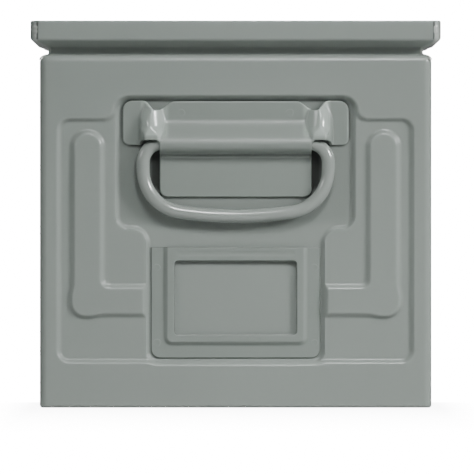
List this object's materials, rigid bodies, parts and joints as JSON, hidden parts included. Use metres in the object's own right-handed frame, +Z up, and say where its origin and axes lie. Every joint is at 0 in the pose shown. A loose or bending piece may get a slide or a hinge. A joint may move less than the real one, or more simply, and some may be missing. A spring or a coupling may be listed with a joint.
{
  "type": "steel stacking box",
  "caption": "Open-topped pressed-steel box with a rolled stacking rim, drop handles on both ends and a label holder on the front end.",
  "frame": {"origin": "on the floor under the middle of the base", "axes": "+Z up, the end wall with the label holder faces -Y, the long sides face +X and -X"},
  "size_m": [0.212, 0.3122, 0.2],
  "materials": {
    "painted_steel": "semi-gloss grey paint with a slight green tint",
    "painted_wire": "semi-gloss grey paint, worn a little smoother than the sheet"
  },
  "bodies": {
    "box": {"front_end_wall": "painted_steel", "rear_end_wall": "painted_steel", "left_side_wall": "painted_steel", "right_side_wall": "painted_steel", "base_pan": "painted_steel", "front_handle_bracket": "painted_steel", "rear_handle_bracket": "painted_steel", "label_holder": "painted_steel", "front_bracket_welds": "painted_steel", "rear_bracket_welds": "painted_steel", "label_holder_welds": "painted_steel", "rim_corner_welds": "painted_steel", "seam_welds": "painted_steel", "base_welds": "painted_steel"},
    "front_handle": {"front_bail": "painted_wire"},
    "rear_handle": {"rear_bail": "painted_wire"}
  },
  "joints": [
    {"name": "front_handle_hinge", "type": "hinge", "parent": "box", "child": "front_handle", "pos_m": [0, -0.1506, 0.1366], "axis": [-1, 0, 0], "range_deg": [0, 50]},
    {"name": "rear_handle_hinge", "type": "hinge", "parent": "box", "child": "rear_handle", "pos_m": [0, 0.1506, 0.1366], "axis": [1, 0, 0], "range_deg": [0, 50]}
  ]
}
